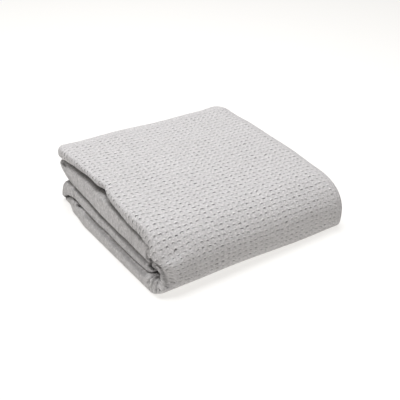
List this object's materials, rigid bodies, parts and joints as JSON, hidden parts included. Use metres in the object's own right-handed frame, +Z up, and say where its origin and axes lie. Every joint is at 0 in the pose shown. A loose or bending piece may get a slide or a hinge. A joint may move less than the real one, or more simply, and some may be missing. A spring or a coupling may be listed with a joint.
{
  "type": "pique blanket",
  "caption": "Honeycomb pique cotton blanket in a pale grey-white, folded into a thick square stack with a smooth rounded front and layered folds on its left side.",
  "frame": {"origin": "centre of the bounding box at its underside, on the surface that the folded stack lies on", "axes": "+X along the smooth front fold to the right, +Y from the front fold to the free ends at the back, +Z up"},
  "size_m": [0.3968, 0.366, 0.1177],
  "materials": {
    "cotton": "matt honeycomb weave"
  },
  "bodies": {
    "root": {"blanket": "cotton"}
  },
  "joints": []
}
